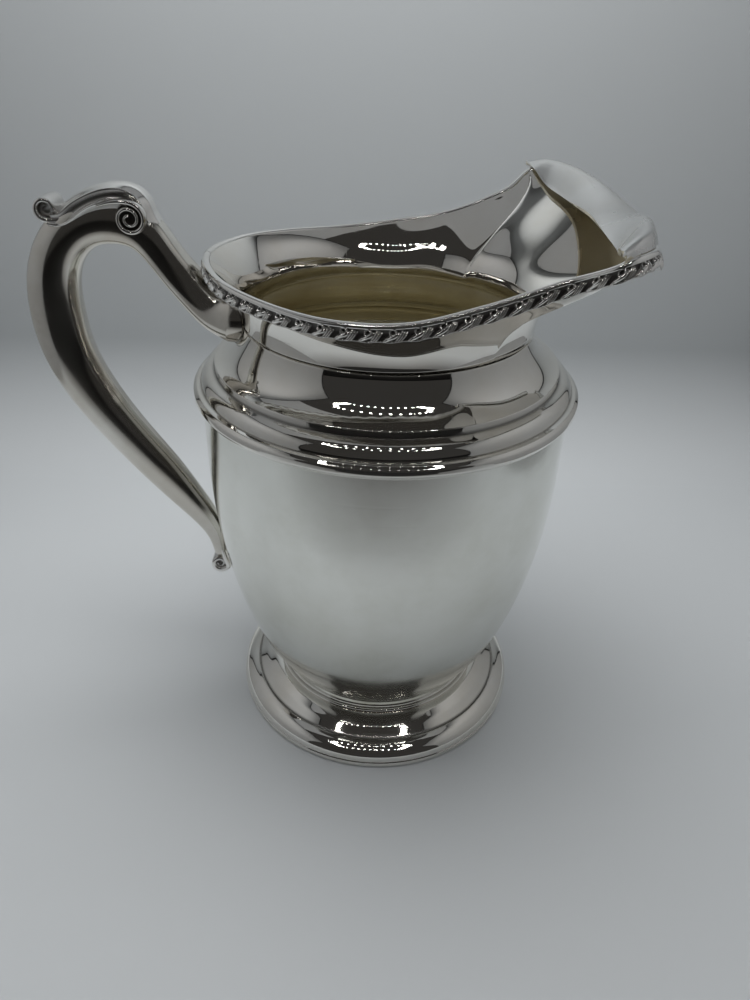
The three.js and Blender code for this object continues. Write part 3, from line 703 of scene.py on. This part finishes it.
def scroll_cap():
    """The S-shaped moulding on the bend: at every place along it a closed line is drawn through the
    section's marks: crest, shoulder, upper ridge, groove, lower ridge, lower edge and a hidden root."""
    marks = {
        "crest": [(-111.5, 206.8), (-109.0, 207.4), (-105.8, 209.3), (-101.8, 211.6),
                  (-97.1, 213.4), (-91.8, 214.4), (-86.7, 214.2), (-82.6, 212.4),
                  (-80.0, 209.2), (-78.6, 204.9), (-77.4, 202.4)],
        "ridge": [(-111.9, 204.4), (-109.6, 204.6), (-106.3, 206.8), (-102.2, 209.4),
                  (-97.8, 211.4), (-92.5, 212.8), (-87.4, 212.7), (-83.9, 211.0),
                  (-81.6, 208.2), (-80.6, 204.4), (-79.8, 201.8)],
        "groove": [(-111.6, 202.7), (-109.3, 203.0), (-105.6, 205.0), (-101.6, 207.6),
                   (-97.3, 209.6), (-92.3, 211.0), (-87.6, 210.9), (-84.6, 209.2),
                   (-82.9, 206.9), (-82.2, 204.0), (-81.6, 201.2)],
        "lower": [(-113.0, 201.9), (-109.3, 201.6), (-105.2, 203.4), (-101.3, 206.2),
                  (-97.1, 208.3), (-92.4, 209.4), (-88.2, 209.3), (-85.6, 207.9),
                  (-84.2, 206.0), (-83.6, 203.6), (-83.0, 201.0)],
        "edge": [(-112.6, 200.9), (-108.8, 200.5), (-104.8, 202.1), (-101.0, 204.7),
                 (-96.9, 206.8), (-92.3, 207.9), (-88.6, 207.8), (-86.6, 206.6),
                 (-85.4, 205.0), (-84.8, 203.0), (-84.2, 200.8)],
        "root": [(-110.0, 199.5), (-107.0, 199.2), (-103.6, 200.4), (-100.0, 202.6),
                 (-96.3, 204.2), (-92.2, 205.0), (-89.0, 204.8), (-87.0, 203.8),
                 (-86.0, 202.6), (-85.4, 201.0), (-84.9, 199.4)]}
    s = np.linspace(0, 1, 150)
    line = {name: through(points)(s) for name, points in marks.items()}
    swell = np.sin(np.pi * np.clip(s * 1.15, 0, 1))
    # Half a section, from the crest down one side: mark, distance across and rise over the mark
    half = [("crest", 0.0, 0.0), ("crest", 3.2, -0.35), ("ridge", 5.7, 0.55), ("ridge", 6.3, 0.0),
            ("groove", 6.0, 0.0), ("lower", 6.9, 0.25), ("lower", 7.2, -0.3), ("edge", 6.4, 0.0),
            ("root", 3.5, 0.0)]
    ring = half + [(name, -y, dz) for name, y, dz in half[:0:-1]]
    rows = np.stack([np.stack([line[name][:, 0], y * (0.9 + 0.1 * swell), line[name][:, 1] + dz], -1)
                     for name, y, dz in ring], 1)
    count = 110
    fine = np.linspace(0, 1, count, endpoint=False)
    flat = rows.transpose(1, 0, 2).reshape(len(ring), -1)
    grid = through(flat, closed=True, uniform=True)(fine).reshape(count, len(s), 3).transpose(1, 0, 2)
    # Painted shade in the groove and along the lower edge on both sides.
    dark = np.zeros(len(ring))
    dark[[4, -4]] = 0.75    # the groove on both sides
    dark[[7, -7]] = 0.6     # the lower edge on both sides
    darkening = np.interp(fine * len(ring), np.arange(len(ring) + 1), np.append(dark, dark[0]))
    return shell(grid, darkening=darkening[None])


def rolled_end():
    """The cap's outer end: a band that leaves the moulding and rolls up over itself."""
    root = through([(-106.5, 203.6), (-109.2, 202.9), (-112.4, 202.6)])(np.linspace(0, 1, 24))
    curl = spiral((-113.3, 206.3), -95, -1.6, 3.5, 0.9, 150)
    w = np.linspace(0, 1, 190)
    path = through(np.concatenate([root[::6], curl[4::7]]))(w)
    width = 5.6 + 1.0 * np.sin(np.pi * np.clip(w * 1.2, 0, 1)) - 1.0 * w
    # Painted shade inside the curl, growing towards its middle.
    return rolled(path, 2.4 - 1.1 * w, width, tarnish_and_painted_shade=0.75 * np.clip((w - 0.45) * 2, 0, 1))


VOLUTE = (-85.8, 204.2)     # middle of the side volutes


def side_volute(side):
    """The curl on one side of the cap, standing on a domed disc whose face is painted dark as shade."""
    lead = np.array([(-95.5, 208.2), (-92.0, 209.2), (-88.6, 209.6)])
    curl = spiral(VOLUTE, 88, -2.05, 5.2, 0.9, 170)
    w = np.linspace(0, 1, 260)
    path = through(np.concatenate([lead, curl[3::6]]))(w)
    thick = 1.0 + 1.1 * np.sin(np.pi * np.clip(w * 2.2, 0, 0.5)) - 0.9 * w
    band = rolled(path, thick, 2.2 - 0.5 * w, power=2.4, y0=side * 6.6)
    a = np.linspace(0, 2 * np.pi, 48, endpoint=False)
    r, y = np.array([(0.3, 2.0), (0.98, 2.0), (1.0, 6.3), (0.95, 6.7), (0.5, 6.8), (0.1, 6.9)]).T[..., None]
    x, z = VOLUTE[0] + 4.6 * r * np.cos(a), VOLUTE[1] + 4.7 * r * np.sin(a)
    disc = np.stack([x, side * y + 0 * a, z], -1)
    return [band, shell(disc, darkening=np.array([0, 0, 0.5, 0.95, 0.95, 0.95])[:, None])]


def thumb_scroll():
    """Scrolled cap of the handle: moulding, rolled end and two side volutes."""
    return [scroll_cap(), rolled_end(), *side_volute(1), *side_volute(-1)]


def tail_scroll():
    """Small curl under the handle's lower end."""
    lead = np.array([(-67.9, 70.0), (-66.9, 66.0), (-65.9, 62.0), (-65.5, 59.4)])
    curl = spiral((-68.9, 60.8), -18, -1.5, 3.3, 0.8, 120)
    w = np.linspace(0, 1, 160)
    path = through(np.concatenate([lead, curl[6::7]]))(w)
    thick = 1.6 + 1.2 * np.sin(np.pi * w) - 0.5 * w
    width = 3.6 + 1.2 * np.sin(np.pi * np.clip(w * 1.3, 0, 1))
    # Painted shade inside the curl, growing towards its middle.
    return [rolled(path, thick, width, tarnish_and_painted_shade=0.45 * np.clip((w - 0.6) * 2.5, 0, 1))]


def pad(z0, z1, half_width, radius_at, thick):
    """A thin rounded plate bent to the wall behind it: an oval whose height over the wall is constant
    and rolls off at its edge."""
    rho = np.concatenate([np.linspace(0.05, 0.9, 10), 1 - 0.1 * np.cos(np.linspace(0.2, np.pi / 2, 7))])
    lift = thick * np.sqrt(np.clip(1 - rho ** 14, 0, 1))
    rho, lift = np.append(rho, [1.0, 0.05]), np.append(lift, [-0.4, -0.4])
    a = np.linspace(0, 2 * np.pi, 72, endpoint=False)

    def squarish(v):
        return np.sign(v) * np.abs(v) ** 0.8

    y = half_width * rho[:, None] * squarish(np.cos(a))
    z = (z0 + z1) / 2 + (z1 - z0) / 2 * rho[:, None] * squarish(np.sin(a))
    x = -np.sqrt((radius_at(z) + lift[:, None]) ** 2 - y ** 2)
    return shell(np.stack([x, y, z], -1))


# ---------------------------------------------------------------- the object
def faces_axis(c, n):
    """Which faces, by middle and normal, look towards the body axis."""
    return c[:, 0] * n[:, 0] + c[:, 1] * n[:, 1] < 0


def in_bowl(c, n):
    """Faces inside the bowl: those that look at the axis or up, above its outer bottom."""
    return (faces_axis(c, n) | (n[:, 2] > 0.5)) & (c[:, 2] > 9.6)


def in_neck(c, n):
    """0 outside, 1 on the yellowed inside below the neck's narrowest place, 2 on the mouth's inside."""
    distance = np.hypot(c[:, 0], c[:, 1])
    looks_in = c[:, 0] * n[:, 0] + c[:, 1] * n[:, 1] < -0.05 * distance
    return np.where(looks_in, np.where(c[:, 2] < NECK_Z, 1, 2), 0)


def under_guard(c, n):
    """Faces of the guard that look down."""
    return n[:, 2] < -0.05


piece("body_bowl_sheet", [bowl()], ["body_bowl"], [BODY, INSIDE], inside=in_bowl)
piece("shoulder_neck_sheet", [neck()], ["shoulder_neck"], [SILVER, INSIDE, MOUTH],
      inside=in_neck)
piece("belt_bead_ring", [belt()], ["belt_bead"], [SILVER])
piece("rim_border_left_cast", [strip(1)], ["rim_border_left"], [CAST])
piece("rim_border_right_cast", [strip(-1)], ["rim_border_right"], [CAST])
piece("ice_guard_visor", [guard()], ["ice_guard"], [BRUSHED, UNDER_GUARD_TARNISH_AND_PAINTED_LIGHT],
      inside=under_guard, sharp=50)
piece("foot_shell_spun", [foot()], ["foot_shell"], [SILVER])
piece("foot_base_band", [foot_ring()], ["foot_base_ring"], [SILVER])
piece("foot_collar_ring", [collar()], ["foot_collar"], [SILVER])
piece("handle_left", [handle_half(1)], ["handle_half_left"], [GRIP], sharp=60)
piece("handle_right", [handle_half(-1)], ["handle_half_right"], [GRIP], sharp=60)
piece("thumb_scroll_cast", thumb_scroll(), ["handle_thumb_scroll"], [CAST], sharp=55)
piece("tail_scroll_cast", tail_scroll(), ["handle_tail_scroll"], [CAST], sharp=55)
piece("upper_pad_plate", [pad(163.2, 182.4, 13.5, neck_back, 1.1)], ["handle_upper_pad"],
      [SILVER])
piece("lower_pad_plate", [pad(55, 79, 5.4, superellipse_wall, 0.8)], ["handle_lower_pad"],
      [SILVER])


# ---------------------------------------------------------------- stage: floor, grey tent, lamps
PAPER = (0.60, 0.625, 0.64)     # colour of the floor, and of the back wall where it meets the floor; higher up the wall gets painted shade
FLOOR_FRONT = -1.3              # front edge of the floor, in metres


def matte(name, colour, emission=None, strength=1.0):
    """Plain rough material of the stage, which may glow."""
    m = bpy.data.materials.new(name)
    m.use_nodes = True
    bsdf = m.node_tree.nodes["Principled BSDF"]
    bsdf.inputs["Base Color"].default_value = (*colour, 1)
    bsdf.inputs["Roughness"].default_value = 0.7
    if emission:
        bsdf.inputs["Emission Color"].default_value = (*emission, 1)
        bsdf.inputs["Emission Strength"].default_value = strength
    return m


def stage_mesh(name, points, faces, material, camera=True):
    """One object of the stage, from points in metres. camera=False hides it from the camera only."""
    mesh = bpy.data.meshes.new(name)
    mesh.from_pydata(points, [], faces)
    mesh.materials.append(material)
    mesh.polygons.foreach_set("use_smooth", np.ones(len(faces), bool))
    o = bpy.data.objects.new(name, mesh)
    bpy.context.scene.collection.objects.link(o)
    o.visible_camera = camera
    return o


def sheet_of(name, corners, material):
    """Flat panel between four corners that the camera doesn't see."""
    return stage_mesh(name, corners, [(0, 1, 2, 3)], material, camera=False)


def sweep():
    """Floor that bends up into the back wall along an arc."""
    back, bend, half = 0.235, 0.07, 1.6
    a = np.linspace(0, np.pi / 2, 16)[1:]
    arc = [(back - bend + bend * math.sin(t), bend - bend * math.cos(t)) for t in a]
    yz = [(FLOOR_FRONT, 0), (-0.3, 0), (back - bend, 0), *arc, (back, 0.6), (back, 1.2)]
    pts = [(x, y, z) for x in (-half, half) for y, z in yz]
    n = len(yz)
    faces = [(i, i + n, i + n + 1, i + 1) for i in range(n - 1)]
    paper = matte("pale_paper_with_painted_shade_on_wall", PAPER)
    # Painted shade: the back wall above the bend is coloured darker than the floor, for the grazing light it
    # gets.
    shade_along(paper, "Z", 0, 0.14, [(0, PAPER), (0.5, (0.40, 0.42, 0.43)), (1, (0.42, 0.44, 0.45))])
    see_through_back(paper)
    stage_mesh("paper_sweep", pts, faces, paper)


def shade_along(material, axis, low, high, stops):
    """Colours a stage material by a ramp over its place from low to high along one axis."""
    t = material.node_tree
    place = node(t, "ShaderNodeTexCoord").outputs["Object"]
    place = node(t, "ShaderNodeSeparateXYZ", [("Vector", place)]).outputs[axis]
    share = node(t, "ShaderNodeMapRange", [("Value", place)], From_Min=low, From_Max=high).outputs[0]
    t.links.new(ramp(t, share, stops), t.nodes["Principled BSDF"].inputs["Base Color"])


def see_through_back(material):
    """Lets a camera that stands behind the surface look through it."""
    t = material.node_tree
    back = node(t, "ShaderNodeNewGeometry").outputs["Backfacing"]
    t.links.new(math_node(t, "SUBTRACT", 1.0, back), t.nodes["Principled BSDF"].inputs["Alpha"])


def far_backdrop(radius=1.15, height=1.7, count=64):
    """Round pale backdrop for the views from the side and back. Only the camera sees it."""
    a = np.linspace(0, 2 * np.pi, count, endpoint=False)
    ring = np.stack([radius * np.cos(a), radius * np.sin(a), 0 * a], -1)
    pts = np.concatenate([ring, ring + [0, 0, height]]).tolist()
    faces = [((i + 1) % count, i, count + i, count + (i + 1) % count) for i in range(count)]
    paper = matte("far_paper", (0.3, 0.31, 0.32), (0.9, 0.96, 1.0), 0.2)
    see_through_back(paper)
    o = stage_mesh("far_backdrop", pts, faces, paper)
    o.visible_diffuse = o.visible_glossy = o.visible_transmission = o.visible_shadow = False


# Side cloths' distance from the middle, front and back edge, and roof height and front edge, in metres
BOX_X, BOX_FRONT, BOX_BACK, BOX_TOP, ROOF_FRONT = 0.30, -0.30, 0.22, 0.52, -0.06
# Lamp rows' half length, the rows' places towards the back, their height and a lamp's radius, in metres
DOTS_X, DOTS_Y, DOTS_Z, DOT_R = 0.11, (-0.25, -0.15), 0.46, 0.0034


def tent():
    """The tent that the silver reflects: a cloth on each side, whose shadow is left out, and a roof over
    its back part."""
    cloth = matte("tent_cloth", (0.26, 0.26, 0.26), (0.95, 0.98, 1.0), 0.06)
    low = 0.004
    for side in (-1, 1):
        x = side * BOX_X
        corners = [(x, BOX_FRONT, low), (x, BOX_BACK, low), (x, BOX_BACK, BOX_TOP), (x, BOX_FRONT, BOX_TOP)]
        panel = sheet_of(f"tent_side_{side + 1}", corners, cloth)
        panel.visible_shadow = False
    roof = matte("tent_roof", (0.3, 0.3, 0.3), (0.95, 0.97, 1.0), 0.12)
    corners = [(-BOX_X, ROOF_FRONT), (BOX_X, ROOF_FRONT), (BOX_X, BOX_BACK), (-BOX_X, BOX_BACK)]
    sheet_of("tent_top", [(x, y, BOX_TOP) for x, y in corners], roof)


def reflected_floor():
    """Card just over the paper that only reflections see, with painted shade: the paper's colour fades
    towards the tent's open front and ends in the dark room, painted near black."""
    half, near, over = 1.5, -0.15, 0.002
    dim = matte("dim_floor", (0.03, 0.03, 0.03))
    shade_along(dim, "Y", -0.34, near, [(0, 0.03), (0.15, 0.03), (0.16, 0.26), (1, PAPER)])
    corners = [(-half, FLOOR_FRONT), (half, FLOOR_FRONT), (half, near), (-half, near)]
    o = sheet_of("reflected_floor", [(x, y, over) for x, y in corners], dim)
    o.visible_diffuse = o.visible_shadow = False


def bar(name, a, b, material, r=0.003, count=8):
    """Straight round bar from a to b, seen in reflections."""
    a, b = np.array(a, float), np.array(b, float)
    d = unit(b - a)
    u = unit(np.cross(d, [0.3, 0.5, 0.8]))
    v = np.cross(d, u)
    t = np.linspace(0, 2 * np.pi, count, endpoint=False)[:, None]
    ring = r * (np.cos(t) * u + np.sin(t) * v)
    pts = np.concatenate([a + ring, b + ring])
    faces = [(i, (i + 1) % count, count + (i + 1) % count, count + i) for i in range(count)]
    stage_mesh(name, pts.tolist(), faces, material, camera=False)


def tent_seams():
    """Dark seams up the back, over the top and down the front of each side cloth."""
    seam = matte("tent_seam", (0.01, 0.01, 0.01))
    for side in (-1, 1):
        x = side * (BOX_X - 0.004)
        corners = [(x, BOX_FRONT, 0.01), (x, BOX_BACK, 0.01), (x, BOX_BACK, BOX_TOP), (x, BOX_FRONT, BOX_TOP)]
        for i in range(1, 4):
            bar(f"seam_{side + 1}_{i}", corners[i], corners[(i + 1) % 4], seam)


def lamp_dots():
    """Two rows of small round lamps, joined by closer rows along both ends. The end rows stand further out
    in their middle."""
    row = np.linspace(-DOTS_X, DOTS_X, 9)
    end = np.linspace(-1, 1, 11)
    middle, half = sum(DOTS_Y) / 2, (DOTS_Y[1] - DOTS_Y[0]) / 2
    at = [(x, y) for y in DOTS_Y for x in row]
    for side in (-1, 1):
        for out in (0.05, 0.065):
            at += [(side * (DOTS_X + out - 0.03 * abs(w)), middle + half * w) for w in end]
    corners = 10
    t = np.linspace(0, 2 * np.pi, corners, endpoint=False)
    pts, faces = [], []
    for x, y in at:
        n = len(pts)
        pts += [(x + DOT_R * math.cos(a), y + DOT_R * math.sin(a), DOTS_Z) for a in t]
        faces.append(tuple(range(n, n + corners)))
    stage_mesh("lamp_dots", pts, faces, matte("lamp_dot", (1, 1, 1), (1.0, 1.0, 1.0), 24.0), camera=False)


def area(name, at, size, power, look):
    """Rectangular light at a place, facing another. Neither the camera nor reflections see it."""
    light = bpy.data.lights.new(name, "AREA")
    light.shape, light.size, light.size_y, light.energy = "RECTANGLE", size[0], size[1], power
    o = bpy.data.objects.new(name, light)
    d = np.array(look) - np.array(at)
    turn = Matrix.Rotation(math.atan2(d[1], d[0]) - math.pi / 2, 4, "Z")
    tilt = Matrix.Rotation(math.atan2(d[2], math.hypot(d[0], d[1])) + math.pi / 2, 4, "X")
    o.matrix_world = Matrix.Translation(at) @ turn @ tilt
    bpy.context.scene.collection.objects.link(o)
    o.visible_camera = False
    o.visible_glossy = False


sweep()
far_backdrop()
tent()
reflected_floor()
tent_seams()
lamp_dots()
area("overhead", (0, 0.03, 0.5), (0.42, 0.3), 1.95, look=(0, 0, 0))
area("front_fill", (0, -0.75, 0.5), (0.5, 0.4), 0.25, look=(0, 0, 0.05))

world = bpy.data.worlds.new("room")
bpy.context.scene.world = world
world.use_nodes = True
world.node_tree.nodes["Background"].inputs["Color"].default_value = (0.032, 0.031, 0.03, 1)
world.node_tree.nodes["Background"].inputs["Strength"].default_value = 1.0
bpy.context.scene.view_settings.view_transform = "Standard"

# ---------------------------------------------------------------- camera
CAM_DISTANCE = 265.7    # from the body axis, along the floor, in mm
CAM_HEIGHT = 263.6
STAND = math.radians(-2.2)      # how far to the side the camera stands, as an angle round the axis
PITCH, TURN, ROLL = math.radians(32.82), math.radians(1.62), math.radians(-1.82)


def camera():
    """Camera at CAM_DISTANCE in front of the body axis and CAM_HEIGHT up, pitched down, turned and rolled."""
    data = bpy.data.cameras.new("camera")
    data.lens, data.sensor_width, data.sensor_fit = 27.36, 36, "AUTO"
    data.clip_start = 0.01
    o = bpy.data.objects.new("camera", data)
    bpy.context.scene.collection.objects.link(o)
    at = np.array([AXIS_X + CAM_DISTANCE * math.sin(STAND), -CAM_DISTANCE * math.cos(STAND), CAM_HEIGHT]) * MM
    forward = np.array([math.sin(TURN) * math.cos(PITCH), math.cos(TURN) * math.cos(PITCH), -math.sin(PITCH)])
    right = np.array([math.cos(TURN), -math.sin(TURN), 0])
    down = np.cross(forward, right)
    x = math.cos(ROLL) * right + math.sin(ROLL) * down
    y = math.sin(ROLL) * right - math.cos(ROLL) * down
    m = Matrix.Identity(4)
    for i in range(3):
        m[i][0], m[i][1], m[i][2], m[i][3] = x[i], y[i], -forward[i], at[i]
    o.matrix_world = m
    bpy.context.scene.camera = o


camera()
